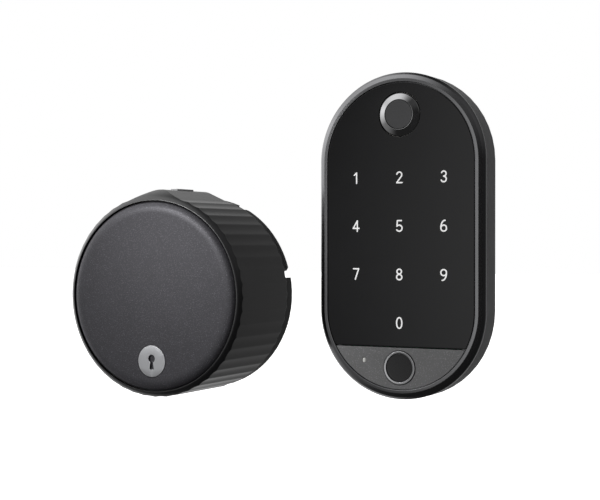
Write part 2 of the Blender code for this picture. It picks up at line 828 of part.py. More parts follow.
def lock_boards(lock):
    board = block("lock_main_board", lock, (-21.2, -20.0), (-19.0, 19.0), (16.0, 34.0))
    for index, (low, high) in enumerate(((-14.0, -6.0), (-2.0, 5.0), (9.0, 13.0))):
        chip = block(f"lock_chip_{index}", lock, (-20.4, -19.0), (low, high), (20.0, 27.0))
        join(board, chip)
    paint(board, BOARD_GREEN)
    antenna = block("antenna_board", lock, (-14.0, 14.0), (22.4, 23.4), (17.0, 32.0))
    shield = block("antenna_shield", lock, (-6.0, 5.0), (21.8, 22.8), (20.0, 29.0))
    paint(join(antenna, shield), BOARD_GREEN)


def cover_magnets(lock):
    for name, side in (("upper", 1.0), ("lower", -1.0)):
        magnet = disc(
            "cover_magnet_" + name, lock, MAGNET_RADIUS, MAGNET, (0.0, side * MAGNET_UP), SMALL_SIDES
        )
        paint(magnet, STEEL)


def wall_bracket(pad):
    """A shallow tray on the wall, with a window for the battery box, hooks and a lug."""
    sections = [(BRACKET_RADIUS, 0.0), (BRACKET_RADIUS, BRACKET_TOP)]
    bracket = lofted("wall_bracket", pad, sections, PAD_STRAIGHT)
    inside = BRACKET_RADIUS - 1.8
    half_box = BOX_HEIGHT / 2
    window_x = BOX_WIDTH / 2 + 0.5
    window = block(
        "bracket_window",
        pad,
        (-window_x, window_x),
        (-half_box - 0.5, half_box + LIFT + 0.5),
        (-1.0, BRACKET_TOP + 1.0),
    )
    tray = [(inside, BRACKET_PLATE), (inside, BRACKET_TOP + 1.0)]
    cut(bracket, lofted("bracket_tray", pad, tray, PAD_STRAIGHT), window)
    for name, up in (("top", 40.0), ("bottom", -37.5)):
        hole = disc("bracket_hole_" + name, pad, 2.3, (-1.0, 3.0), (0.0, up), SMALL_SIDES)
        cut(bracket, hole)
    for x in (-HOOK_X, HOOK_X):
        for up in HOOK_UP:
            post_z = (BRACKET_PLATE - 0.5, CASE_FLOOR + 1.5)
            lip_z = (CASE_FLOOR + GAP, CASE_FLOOR + 1.5)
            place_name = f"{x:.0f}_{up:.0f}"
            post_x, post_y = (x - 2.0, x + 2.0), (up - 1.5, up + 1.5)
            lip_x, lip_y = (x - 1.9, x + 1.9), (up, up + 4.5)
            join(
                bracket,
                block("hook_post_" + place_name, pad, post_x, post_y, post_z),
                block("hook_lip_" + place_name, pad, lip_x, lip_y, lip_z),
            )
    lug = block("lug", pad, (-3.5, 3.5), (LUG_UP - 1.2, LUG_UP + 1.2), (BRACKET_PLATE - 0.5, 11.8))
    join(bracket, lug)
    cut(bracket, rod("lug_hole", pad, 1.7, (LUG_UP - 3.0, LUG_UP + 3.0), 0.0, 9.4))
    return paint(bracket, DARK_PLASTIC)


def bracket_screws(pad):
    front = BRACKET_PLATE + GAP
    for name, up in (("top", 40.0), ("bottom", -37.5)):
        profile = [
            (0.0, front + 1.8),
            (2.4, front + 1.7),
            (3.6, front + 1.0),
            (3.6, front),
            (1.9, front),
            (1.9, -16.0),
            (0.0, -18.0),
        ]
        screw = turned("bracket_screw_" + name, pad, profile, (0.0, up), SMALL_SIDES)
        paint(cut_cross(screw, pad, (0.0, up), 1.3, front + 1.8), STEEL)


def rear_case(pad):
    outside = [
        (PAD_RADIUS - CASE_EDGE, CASE_BACK),
        (PAD_RADIUS, CASE_BACK + CASE_EDGE),
        (PAD_RADIUS, CASE_FRONT),
    ]
    case = lofted("rear_case", pad, outside, PAD_STRAIGHT)
    half_x = BOX_WIDTH / 2
    half_y = BOX_HEIGHT / 2
    box_z = (BOX_BACK, CASE_FLOOR - 0.4)
    join(case, block("battery_box", pad, (-half_x, half_x), (-half_y, half_y), box_z))
    inside_x = half_x - BOX_WALL
    inside_y = half_y - BOX_WALL
    hollow = [(CASE_INSIDE, CASE_FLOOR), (CASE_INSIDE, CASE_FRONT + 1.0)]
    bay_z = (-1.0, CASE_FLOOR + 1.0)
    cut(
        case,
        lofted("case_hollow", pad, hollow, PAD_STRAIGHT),
        block("battery_bay", pad, (-inside_x, inside_x), (-inside_y, inside_y), bay_z),
    )
    slot_z = (CASE_BACK - 1.0, CASE_FLOOR + 1.0)
    for x in (-HOOK_X, HOOK_X):
        for up in HOOK_UP:
            slot_x = (x - 2.4, x + 2.4)
            slot_y = (up - 1.5 - LIFT - 0.4, up + 1.5 + GAP)
            cut(case, block(f"hook_slot_{x:.0f}_{up:.0f}", pad, slot_x, slot_y, slot_z))
    lug_y = (LUG_UP - 1.2 - LIFT - 0.4, LUG_UP + 1.2 + GAP)
    cut(case, block("lug_slot", pad, (-3.9, 3.9), lug_y, slot_z))
    bottom = -PAD_STRAIGHT - PAD_RADIUS
    cut(case, rod("security_hole", pad, 2.5, (bottom - 1.0, bottom + 3.0), 0.0, 9.4))
    return paint(case, GREY_PLASTIC)


def security_screw(pad):
    """The screw in the bottom edge that keeps the keypad from being lifted off."""
    bottom = -PAD_STRAIGHT - PAD_RADIUS
    screw = rod("security_screw", pad, 2.2, (bottom + 0.1, bottom + 1.7), 0.0, 9.4)
    join(screw, rod("security_shank", pad, 1.2, (bottom + 1.2, LUG_UP + 1.8), 0.0, 9.4))
    return paint(screw, STEEL)


def battery_door(pad):
    half_x = BOX_WIDTH / 2 - BOX_WALL - GAP
    half_y = BOX_HEIGHT / 2 - BOX_WALL - GAP
    door_z = (BOX_BACK, BOX_BACK + 1.1)
    door = block("battery_door", pad, (-half_x, half_x), (-half_y, half_y), door_z)
    grip_z = (0.0, BOX_BACK + 0.5)
    grip = block("door_grip", pad, (-6.0, 6.0), (half_y - 4.0, half_y - 2.2), grip_z)
    return paint(cut(door, grip), DARK_PLASTIC)


def pad_power(pad):
    half = AAA_LENGTH / 2
    places = [(index - 1.5) * AAA_PITCH for index in range(4)]
    for index, x in enumerate(places):
        name = f"keypad_battery_{index + 1}"
        cell(name, pad, AAA_RADIUS, AAA_LENGTH, x, AAA_CENTRE, BATTERY_BLUE, 1.9)
    for name, side in (("upper", 1.0), ("lower", -1.0)):
        y = side * (half + 1.5)
        contact_strip("keypad_contact_" + name, pad, 40.0, y, AAA_CENTRE, places, 1.5, 1.1)


def pad_electronics(pad):
    board_span = (12.6, 13.3)
    board = prism("keypad_board", pad, [stadium(27.0, PAD_STRAIGHT)], board_span)
    for index, (x, y) in enumerate(((-17.0, 30.0), (16.0, 28.0), (-15.0, -34.0))):
        chip_x, chip_y = (x - 3.0, x + 3.0), (y - 3.0, y + 3.0)
        join(board, block(f"keypad_chip_{index}", pad, chip_x, chip_y, (11.4, 12.9)))
    paint(board, BOARD_GREEN)
    paint(disc("buzzer", pad, 4.5, (9.3, 12.3), (9.5, -33.0), SMALL_SIDES), DARK_PLASTIC)
    seal = [(28.1, 13.3), (28.1, 12.0), (27.4, 12.0), (27.4, 13.3)]
    paint(lofted("case_seal", pad, seal, PAD_STRAIGHT, ring=True), RUBBER)
    button_hole = circle(6.3, MEDIUM_SIDES, (0.0, PAD_BUTTON_UP))
    guide_outline = stadium_above(25.1, PAD_STRAIGHT, TRIM_EDGE + 0.6)
    guide = prism("light_guide", pad, [guide_outline, button_hole], (13.7, 14.9))
    paint(guide, WHITE_GEAR)


def front_frame(pad):
    sections = [
        (PAD_RADIUS, FRAME_BACK),
        (PAD_RADIUS, 14.4),
        (29.9, 15.1),
        (29.2, 15.75),
        (28.3, 16.2),
        (27.5, PAD_FRONT),
        (GLASS_RADIUS + GAP, PAD_FRONT - 0.05),
        (GLASS_RADIUS + GAP, 14.9),
        (25.4, 14.9),
        (25.4, FRAME_BACK),
    ]
    return paint(lofted("front_frame", pad, sections, PAD_STRAIGHT, ring=True), BLACK_COAT)


def front_panels(pad):
    hole = circle(PAD_BUTTON_RADIUS + GAP, MEDIUM_SIDES, (0.0, PAD_BUTTON_UP))
    glass_outline = stadium_above(GLASS_RADIUS, PAD_STRAIGHT, TRIM_EDGE + 0.1)
    paint(prism("glass_panel", pad, [glass_outline, hole], GLASS), GLASS_BLACK)
    trim_outline = stadium_below(GLASS_RADIUS, PAD_STRAIGHT, TRIM_EDGE - 0.2)
    sensor_hole = circle(SENSOR_RING_RADIUS + GAP, MEDIUM_SIDES, (0.0, SENSOR_UP))
    slot_x = (LIGHT_X - 0.75, LIGHT_X + 0.75)
    slot = rectangle(slot_x, (LIGHT_UP - 1.05, LIGHT_UP + 1.05))
    trim = prism("lower_trim_panel", pad, [trim_outline, sensor_hole, slot], TRIM)
    paint(trim, GREY_PLASTIC)
    pin_x = (LIGHT_X - 0.45, LIGHT_X + 0.45)
    pin = block("status_light", pad, pin_x, (LIGHT_UP - 0.75, LIGHT_UP + 0.75), (13.7, 16.25))
    paint(pin, WHITE_GEAR)


def push_button(pad):
    """The round button at the top: a fixed ring, a cap that travels, its pad and its switch."""
    at = (0.0, PAD_BUTTON_UP)
    inner = BUTTON_CAP_RADIUS + GAP
    ring = [
        (inner + 0.2, BUTTON_RING_TOP),
        (PAD_BUTTON_RADIUS - 0.2, BUTTON_RING_TOP - BUTTON_RING_SLOPE),
        (PAD_BUTTON_RADIUS, BUTTON_RING_TOP - BUTTON_RING_SLOPE - 0.2),
        (PAD_BUTTON_RADIUS, 15.1),
        (6.2, 15.1),
        (6.2, 16.0),
        (inner, 16.0),
        (inner, BUTTON_RING_TOP - 0.2),
    ]
    paint(turned("button_ring", pad, ring, at, closed=True), STEEL)
    cap = [
        (0.0, BUTTON_CAP_TOP),
        (BUTTON_CAP_RADIUS - 0.2, BUTTON_CAP_TOP - 0.05),
        (BUTTON_CAP_RADIUS, BUTTON_CAP_TOP - 0.25),
        (BUTTON_CAP_RADIUS, 15.7),
        (5.8, 15.7),
        (5.8, 15.2),
        (1.6, 15.2),
        (1.6, 14.9),
        (0.0, 14.9),
    ]
    paint(turned("button_cap", pad, cap, at), GREY_PLASTIC)
    return_pad = [circle(4.6, SMALL_SIDES), circle(2.8, SMALL_SIDES)]
    paint(prism("button_return_pad", pad, return_pad, (13.6, 14.5), at), RUBBER)
    paint(disc("button_switch", pad, 2.2, (13.6, 14.2), at, SMALL_SIDES), STEEL)


def fingerprint_reader(pad):
    at = (0.0, SENSOR_UP)
    ring = [(5.3, 16.5), (5.5, 16.5), (SENSOR_RING_RADIUS, 16.4)]
    ring += [(SENSOR_RING_RADIUS, 14.4), (5.05, 14.4), (5.05, 16.3)]
    paint(turned("fingerprint_ring", pad, ring, at, closed=True), STEEL)
    paint(disc("fingerprint_sensor", pad, 4.75, (13.7, 16.2), at), GLASS_BLACK)


def build():
    lock = new_unit("lock_axis", 0.0, 0.0)
    for make in (
        mounting_plate,
        mounting_screws,
        rear_chassis,
        wing_latches,
        gear_train,
        bearing_ring,
        tailpiece_adapter,
        inner_frame,
        frame_screws,
        motor,
        lock_power,
        lock_boards,
        cover_magnets,
        outer_shell,
        crest_insert,
        cover_steel_plate,
        face_cover,
        badge_inlay,
    ):
        make(lock)
    pad = new_unit("keypad_centre", PAD_X, PAD_UP)
    for make in (
        wall_bracket,
        bracket_screws,
        rear_case,
        security_screw,
        battery_door,
        pad_power,
        pad_electronics,
        front_frame,
        front_panels,
        push_button,
        fingerprint_reader,
    ):
        make(pad)


empty_scene()
PARTS = new_collection("keypad_smart_lock")
CUTTERS = new_collection("cutters")
build()
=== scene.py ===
"""The looks of a keypad smart lock: its fluted motor lock and its touch keypad.

Lengths are in millimetres. Each unit has its own axes: x to the right, up, and out of the door
towards the viewer, measured from the door's face. A unit's centre comes from the frame.
"""

import json
import math

import bmesh
import bpy
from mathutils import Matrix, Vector

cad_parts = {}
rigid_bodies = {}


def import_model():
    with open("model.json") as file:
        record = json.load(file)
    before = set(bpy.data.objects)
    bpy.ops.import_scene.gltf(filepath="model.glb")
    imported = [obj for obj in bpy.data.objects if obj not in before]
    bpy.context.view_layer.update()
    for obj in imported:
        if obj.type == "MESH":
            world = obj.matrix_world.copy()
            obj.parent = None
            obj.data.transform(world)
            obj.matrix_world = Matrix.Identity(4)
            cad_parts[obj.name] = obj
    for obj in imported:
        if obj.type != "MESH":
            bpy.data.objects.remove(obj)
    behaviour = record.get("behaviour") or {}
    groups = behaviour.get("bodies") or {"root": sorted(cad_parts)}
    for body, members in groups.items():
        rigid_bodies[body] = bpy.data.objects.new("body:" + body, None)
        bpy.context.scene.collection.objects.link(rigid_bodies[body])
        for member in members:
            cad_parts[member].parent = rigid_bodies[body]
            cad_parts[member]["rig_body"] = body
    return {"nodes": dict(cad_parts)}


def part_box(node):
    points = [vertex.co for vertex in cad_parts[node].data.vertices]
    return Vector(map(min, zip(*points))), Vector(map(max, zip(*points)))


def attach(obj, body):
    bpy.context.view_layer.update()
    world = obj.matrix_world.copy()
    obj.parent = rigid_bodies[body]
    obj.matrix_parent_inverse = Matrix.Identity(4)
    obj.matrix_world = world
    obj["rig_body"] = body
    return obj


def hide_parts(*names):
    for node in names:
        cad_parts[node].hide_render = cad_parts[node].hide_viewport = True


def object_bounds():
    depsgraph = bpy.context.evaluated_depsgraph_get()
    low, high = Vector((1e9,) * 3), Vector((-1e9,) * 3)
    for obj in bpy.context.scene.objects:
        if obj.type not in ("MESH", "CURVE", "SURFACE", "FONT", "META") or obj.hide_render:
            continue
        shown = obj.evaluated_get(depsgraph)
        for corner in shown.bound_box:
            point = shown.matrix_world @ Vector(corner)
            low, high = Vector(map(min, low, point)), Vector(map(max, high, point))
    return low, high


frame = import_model()
cad_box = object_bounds()

MM = 0.001
TINY = 1e-6
MERGE_DISTANCE = 0.0001

# Fluted shell
FLUTES = 48
FLUTE_DEPTH = 0.25
FLUTE_STEPS = 12
CREST_FOOT = 15.0
CREST_HALF_WIDTH = 1.9
CREST_ROUNDING = 1.3
CREST_PULL = 0.6
CREST_STEPS = 8
SHELL_WALL = 2.6
LIP_WIDTH = 0.16
SHOULDER_SLOPE = 0.3
SHOULDER_CURVE = 0.3
SHOULDER_STEPS = 8
REAR_ROUNDING = 0.7
POCKET_LENGTH = 4.0
POCKET_ABOVE = 2.0
POCKET_EDGE = 0.3
INSERT_EDGE = 0.22

# Face cover and badge
FACE_GAP = 0.26
FACE_FLAT_RADIUS = 29.2
FACE_ROLL = 1.9
FACE_ROLL_POWER = 0.9
FACE_ROLL_STEPS = 14
FACE_BACK_EDGE = 0.15
BADGE_GAP = 0.22
BADGE_EDGE = 0.1
KEYHOLE_RADIUS = 1.35
KEYHOLE_UP = 0.9
KEYHOLE_FOOT = -2.9
KEYHOLE_HALF_WIDTH = 0.6
KEYHOLE_FLARE = 1.5

# Keypad
RIM_GAP = 0.2
PLATE_EDGE = 0.16
RING_GAP = 0.12
BEZEL_SIDE = 1.1
BEZEL_STEP_IN = 0.8
BEZEL_STEP_UP = 2.0
BEZEL_CROWN_IN = 2.1
BEZEL_CROWN_DROP = 0.1
BEZEL_LEDGE = 1.5
SEAM_FILL = 0.14
BUTTON_CAP_RADIUS = 4.9
BUTTON_STEM_RADIUS = 1.6
BUTTON_STEM_LENGTH = 0.3
BUTTON_SLOPE = 0.95
BUTTON_RIM = 0.25
BUTTON_DISC_DISH = 0.03
BUTTON_DISC_DEPTH = 1.2
BUTTON_RING_WALL = 1.1
BUTTON_RING_DEPTH = 0.8
SENSOR_DISH = 0.12
SENSOR_DISH_EDGE = 0.05
SENSOR_DISH_IN = 0.7
SENSOR_RING_DROP = 0.08
LIGHT_EDGE = 0.1
DIGIT_THICKNESS = 0.03
PRINT_LIFT = 0.01
PRINT_LAYER = 0.004
DIGIT_STROKE = 0.118
DIGIT_PITCH_X = 16.0
DIGIT_PITCH_UP = 16.4
DIGIT_TOP_ROW = 19.8
DIGIT_HEIGHT = 4.05
DIGIT_ROWS = ("123", "456", "789", " 0 ")
# Powers of the sine and cosine under 1 make an oval squarer than an ellipse
OVAL_POWER = 0.94

# Batteries: bare metal, and how far a label's edge fades, in metres
CELL_METAL = (0.55, 0.55, 0.57)
LABEL_BLUR = 0.0001

# How finely round shapes are divided
TURN_STEPS = 128
END_STEPS = 72
HOLE_STEPS = 64
FILLET_STEPS = 5
STROKE_END_STEPS = 8

# The camera, fitted once to the outlines of both units: its place, its turn to the left and its
# dip in degrees. Then how far below the units the floor is, and how brightly it shows
CAMERA_PLACE = (268.06, -453.01, 19.68)
CAMERA_TURN = 26.931
CAMERA_DIP = 0.414
CAMERA_LENS = 84.0
CAMERA_SENSOR = 36.0
CAMERA_NEAR = 10.0
FLOOR_BELOW = 110.0
FLOOR_SIZE = 6000.0
FLOOR_GLOW = 1.0

# Light: an even glow, and soft panels far off. A panel has a bearing from straight in front, with
# right as positive, a height and a half width, all in degrees, and then a strength. It is at full
# strength within PANEL_MIDDLE degrees of its middle and fades to nothing at its half width. The first
# layout was a least-squares fit to the photo's tones, rounded, and was then changed
ROOM_LIGHT = 0.035
SOFT_PANELS = (
    (-60.0, 40.0, 44.0, 1.2),
    (-36.0, 52.0, 36.0, 0.6),
    (-60.0, 0.0, 44.0, 0.35),
    (-93.0, 5.0, 32.0, 1.3),
    (-120.0, 30.0, 44.0, 0.9),
    (-120.0, -30.0, 44.0, 1.1),
    (-172.0, 0.0, 44.0, 0.4),
    (120.0, 0.0, 44.0, 0.12),
    (60.0, 45.0, 44.0, 0.2),
    (-3.0, 0.0, 26.0, 1.0),
)
PANEL_MIDDLE = 10.0
# The spot: what it is aimed at, and where it stands from there, as x, y and z in the frame
SPOT_TARGET = (9.0, -40.0, 15.0)
SPOT_OFFSET = (-205.0, -420.0, 145.0)
SPOT_ANGLE = 12.0
SPOT_SOFTNESS = 30.0
SPOT_POWER = 4.6


def millimetres(node):
    low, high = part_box(node)
    return low / MM, high / MM


class Unit:
    """One of the two units, placed on the door by its centre."""

    def __init__(self, node):
        low, high = millimetres(node)
        self.x = (low.x + high.x) / 2
        self.up = (low.z + high.z) / 2

    def world(self, x, up, out):
        return Vector(((self.x + x) * MM, -out * MM, (self.up + up) * MM))


class Extent:
    """What a CAD node fills, seen from its unit's centre."""

    def __init__(self, unit, node):
        low, high = millimetres(node)
        self.left = low.x - unit.x
        self.right = high.x - unit.x
        self.bottom = low.z - unit.up
        self.top = high.z - unit.up
        self.front = -low.y
        self.back = -high.y
        self.radius = (self.right - self.left) / 2
        self.centre = ((self.left + self.right) / 2, (self.bottom + self.top) / 2)


LOCK = Unit("face_cover")
PAD = Unit("front_frame")


# ---------------------------------------------------------------- outlines and profiles


def polar(radius, degrees):
    angle = math.radians(degrees)
    return radius * math.cos(angle), radius * math.sin(angle)


def arc(radius, start, end, steps, centre=(0.0, 0.0)):
    points = []
    for step in range(steps + 1):
        x, y = polar(radius, start + (end - start) * step / steps)
        points.append((centre[0] + x, centre[1] + y))
    return points


def circle(radius, steps=HOLE_STEPS, centre=(0.0, 0.0)):
    return arc(radius, 0.0, 360.0, steps, centre)[:-1]


def stadium(radius, straight, steps=END_STEPS):
    top = arc(radius, 0.0, 180.0, steps, (0.0, straight))
    return top + arc(radius, 180.0, 360.0, steps, (0.0, -straight))


def stadium_above(radius, straight, edge):
    """The part of a stadium above a level edge that crosses its lower end."""
    turn = 90.0 - math.degrees(math.acos((-straight - edge) / radius))
    top = arc(radius, 0.0, 180.0, END_STEPS, (0.0, straight))
    left = arc(radius, 180.0, 180.0 + turn, END_STEPS // 3, (0.0, -straight))
    right = arc(radius, 360.0 - turn, 360.0, END_STEPS // 3, (0.0, -straight))
    return top + left + right


def stadium_below(radius, straight, edge):
    """The part of a stadium below a level edge that crosses its lower end."""
    turn = math.degrees(math.asin((-straight - edge) / radius))
    return arc(radius, 180.0 + turn, 360.0 - turn, END_STEPS, (0.0, -straight))


def bezier(start, first, second, end, steps):
    points = []
    for step in range(steps + 1):
        t = step / steps
        s = 1.0 - t
        weights = (s * s * s, 3 * s * s * t, 3 * s * t * t, t * t * t)
        corners = (start, first, second, end)
        points.append(tuple(sum(w * p[axis] for w, p in zip(weights, corners)) for axis in (0, 1)))
    return points


def rounded(profile, closed=False):
    """Turn (radius, out, fillet) corners into points, with a curve where there is a fillet."""
    points = []
    last = len(profile) - 1
    for index, (x, y, fillet) in enumerate(profile):
        if fillet == 0.0 or (index in (0, last) and not closed):
            points.append((x, y))
            continue
        here = Vector((x, y))
        before = Vector(profile[index - 1][:2]) - here
        after = Vector(profile[(index + 1) % len(profile)][:2]) - here
        half = before.angle(after) / 2
        reach = min(fillet / math.tan(half), before.length * 0.49, after.length * 0.49)
        start = here + before.normalized() * reach
        end = here + after.normalized() * reach
        for step in range(FILLET_STEPS + 1):
            share = step / FILLET_STEPS
            points.append(tuple(start.lerp(here, share).lerp(here.lerp(end, share), share)))
    return points


# ---------------------------------------------------------------- meshes


def band(bm, first, second):
    for index in range(len(first)):
        bm.faces.new((first[index - 1], first[index], second[index], second[index - 1]))


def fan(bm, ring, tip):
    for index in range(len(ring)):
        bm.faces.new((ring[index - 1], ring[index], tip))


def turned(unit, profile, centre=(0.0, 0.0), steps=TURN_STEPS):
    """A shape turned round an axis out of the door: a solid if its profile starts and ends at
    radius 0, and otherwise a closed ring."""
    bm = bmesh.new()
    loops = []
    for radius, out in profile:
        if radius < TINY:
            loops.append([bm.verts.new(unit.world(*centre, out))])
        else:
            ring = circle(radius, steps, centre)
            loops.append([bm.verts.new(unit.world(x, up, out)) for x, up in ring])
    pairs = list(zip(loops, loops[1:]))
    if len(loops[0]) > 1:
        pairs.append((loops[-1], loops[0]))
    for first, second in pairs:
        if len(first) == 1:
            fan(bm, second, first[0])
        elif len(second) == 1:
            fan(bm, first, second[0])
        else:
            band(bm, first, second)
    return bm


def stadium_ring(unit, profile, straight):
    """A closed ring in the shape of a stadium, from (radius, out) points."""
    bm = bmesh.new()
    loops = []
    for radius, out in profile:
        outline = stadium(radius, straight)
        loops.append([bm.verts.new(unit.world(x, up, out)) for x, up in outline])
    for first, second in zip(loops, loops[1:]):
        band(bm, first, second)
    band(bm, loops[-1], loops[0])
    return bm


def slab(unit, outlines, back, front, edge):
    """A flat plate with a rounded front edge. Each outline is a function of how far it is drawn
    in from the plate's rim, and those after the first are holes."""
    bm = bmesh.new()
    layers = [(0.0, back), (0.0, front - edge)]
    for degrees in (30.0, 60.0, 90.0):
        inset, rise = polar(edge, degrees)
        layers.append((edge - inset, front - edge + rise))
    rims = {back: [], front: []}
    for outline in outlines:
        loops = []
        for inset, out in layers:
            loops.append([bm.verts.new(unit.world(x, up, out)) for x, up in outline(inset)])
        for first, second in zip(loops, loops[1:]):
            band(bm, first, second)
        rims[back].append(loops[0])
        rims[front].append(loops[-1])
    for loops in rims.values():
        edges = []
        for loop in loops:
            edges += [bm.edges.get((loop[index - 1], loop[index])) for index in range(len(loop))]
        bmesh.ops.triangle_fill(bm, use_beauty=True, edges=edges)
    return bm


def block(unit, xs, ups, outs, edge):
    """A box between two limits each way, with rounded edges."""
    bm = bmesh.new()
    bmesh.ops.create_cube(bm, size=1.0)
    for vert in bm.verts:
        limits = zip(vert.co, (xs, ups, outs))
        vert.co = unit.world(*(pair[0 if value < 0.0 else 1] for value, pair in limits))
    bmesh.ops.bevel(bm, geom=bm.edges[:], offset=edge * MM, segments=3, profile=0.5, affect="EDGES")
    return bm


def loose(bm):
    bmesh.ops.recalc_face_normals(bm, faces=bm.faces)
    mesh = bpy.data.meshes.new("loose")
    bm.to_mesh(mesh)
    bm.free()
    obj = bpy.data.objects.new("loose", mesh)
    bpy.context.scene.collection.objects.link(obj)
    return obj


def carved(bm, tool):
    """The mesh with a tool cut from it."""
    solid = loose(bm)
    cutter = loose(tool)
    modifier = solid.modifiers.new("tool", "BOOLEAN")
    modifier.operation = "DIFFERENCE"
    modifier.solver = "EXACT"
    modifier.object = cutter
    shaped = solid.evaluated_get(bpy.context.evaluated_depsgraph_get())
    result = bmesh.new()
    result.from_mesh(shaped.to_mesh())
    for obj in (solid, cutter):
        bpy.data.objects.remove(obj, do_unlink=True)
    return result


def piece(name, bm, body, stands_for, finish, sharp=35.0):
    """Finish a mesh as a piece that rides on a body, in the place of some CAD nodes."""
    bmesh.ops.recalc_face_normals(bm, faces=bm.faces)
    mesh = bpy.data.meshes.new(name)
    bm.to_mesh(mesh)
    bm.free()
    mesh.shade_smooth()
    mesh.set_sharp_from_angle(angle=math.radians(sharp))
    mesh.materials.append(finish)
    obj = bpy.data.objects.new(name, mesh)
    bpy.context.scene.collection.objects.link(obj)
    weighted = obj.modifiers.new("even shading", "WEIGHTED_NORMAL")
    weighted.keep_sharp = True
    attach(obj, body)
    if stands_for:
        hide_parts(*stands_for)
    return obj


# ---------------------------------------------------------------- surfaces


class Nodes:
    """A material being made, with short calls for its nodes."""

    def __init__(self, name):
        self.material = bpy.data.materials.new(name)
        self.material.use_nodes = True
        self.tree = self.material.node_tree
        self.shader = self.tree.nodes["Principled BSDF"]
        coordinates = self.tree.nodes.new("ShaderNodeTexCoord")
        self.place = coordinates.outputs["Object"]

    def link(self, output, target):
        self.tree.links.new(output, target)

    def noise(self, size, detail=2.0, stretch=None):
        """Noise whose features are about size millimetres across."""
        node = self.tree.nodes.new("ShaderNodeTexNoise")
        node.inputs["Scale"].default_value = 1.0 / (size * MM)
        node.inputs["Detail"].default_value = detail
        place = self.place
        if stretch:
            mapping = self.tree.nodes.new("ShaderNodeMapping")
            mapping.inputs["Scale"].default_value = stretch
            self.link(place, mapping.inputs["Vector"])
            place = mapping.outputs["Vector"]
        self.link(place, node.inputs["Vector"])
        return node.outputs["Fac"]

    def spread(self, value, low, high, start=0.3, end=0.7):
        """A value from start to end, spread over low to high."""
        node = self.tree.nodes.new("ShaderNodeMapRange")
        node.inputs["From Min"].default_value = start
        node.inputs["From Max"].default_value = end
        node.inputs["To Min"].default_value = low
        node.inputs["To Max"].default_value = high
        self.link(value, node.inputs["Value"])
        return node.outputs["Result"]

    def mix(self, share, first, second):
        node = self.tree.nodes.new("ShaderNodeMix")
        node.data_type = "RGBA"
        self.link(share, node.inputs["Factor"])
        for value, socket in ((first, node.inputs[6]), (second, node.inputs[7])):
            if isinstance(value, tuple):
                socket.default_value = (*value, 1.0)
            else:
                self.link(value, socket)
        return node.outputs[2]

    def bump(self, height, depth):
        node = self.tree.nodes.new("ShaderNodeBump")
        node.inputs["Distance"].default_value = depth * MM
        self.link(height, node.inputs["Height"])
        self.link(node.outputs["Normal"], self.shader.inputs["Normal"])


def scaled(colour, factor):
    return tuple(min(1.0, channel * factor) for channel in colour)


def surface(
    name,
    colour,
    roughness,
    metallic=0.0,
    grain=0.2,
    depth=0.004,
    mottle=0.12,
    sparkle=0.0,
    stretch=None,
    ior=1.5,
):
    """A coat, plastic or metal: fine grain, a slow change of colour, and bright flecks if any."""
    made = Nodes(name)
    made.shader.inputs["Metallic"].default_value = metallic
    made.shader.inputs["IOR"].default_value = ior
    slow = made.noise(9.0, 3.0)
    fine = made.noise(grain, 2.0, stretch)
    tone = made.mix(
        made.spread(slow, 0.0, 1.0), scaled(colour, 1.0 - mottle), scaled(colour, 1.0 + mottle)
    )
    if sparkle:
        flecks = made.spread(made.noise(grain * 1.6, 0.0), 0.0, sparkle, 0.62, 0.78)
        tone = made.mix(flecks, tone, scaled(colour, 3.5))
    made.link(tone, made.shader.inputs["Base Color"])
    made.link(made.spread(fine, roughness * 0.88, roughness * 1.12), made.shader.inputs["Roughness"])
    made.bump(fine, depth)
    return made.material


def metal(name, colour, roughness, **details):
    return surface(name, colour, roughness, metallic=1.0, **details)


def glowing(material, colour, strength):
    shader = material.node_tree.nodes["Principled BSDF"]
    shader.inputs["Emission Color"].default_value = (*colour, 1.0)
    shader.inputs["Emission Strength"].default_value = strength
    return material


def circuit_board():
    made = Nodes("circuit_board")
    tracks = made.tree.nodes.new("ShaderNodeTexBrick")
    tracks.inputs["Scale"].default_value = 1.0 / (6.0 * MM)
    tracks.inputs["Mortar Size"].default_value = 0.03
    tracks.inputs["Color1"].default_value = (0.010, 0.075, 0.035, 1.0)
    tracks.inputs["Color2"].default_value = (0.012, 0.095, 0.045, 1.0)
    tracks.inputs["Mortar"].default_value = (0.03, 0.22, 0.10, 1.0)
    turn = made.tree.nodes.new("ShaderNodeMapping")
    turn.inputs["Rotation"].default_value = (math.radians(90.0), 0.0, math.radians(45.0))
    made.link(made.place, turn.inputs["Vector"])
    made.link(turn.outputs["Vector"], tracks.inputs["Vector"])
    made.link(tracks.outputs["Color"], made.shader.inputs["Base Color"])
    made.link(made.spread(made.noise(0.8), 0.32, 0.48), made.shader.inputs["Roughness"])
    made.bump(tracks.outputs["Fac"], 0.02)
    return made.material


def battery(name, label, end, low, high):
    """A battery's label between two heights, and a band of another colour above them."""
    made = Nodes(name)
    parts = made.tree.nodes.new("ShaderNodeSeparateXYZ")
    made.link(made.place, parts.inputs["Vector"])
    limits = [(height - LABEL_BLUR, height + LABEL_BLUR) for height in (low * MM, high * MM)]
    lower = made.spread(parts.outputs["Z"], 1.0, 0.0, *limits[0])
    upper = made.spread(parts.outputs["Z"], 0.0, 1.0, *limits[1])
    body = made.mix(made.spread(made.noise(2.5), 0.0, 1.0), scaled(label, 0.93), scaled(label, 1.07))
    tone = made.mix(lower, made.mix(upper, body, end), CELL_METAL)
    made.link(tone, made.shader.inputs["Base Color"])
    made.link(made.spread(made.noise(0.5), 0.24, 0.36), made.shader.inputs["Roughness"])
    made.shader.inputs["Metallic"].default_value = 0.35
    made.bump(made.noise(0.35), 0.003)
    return made.material


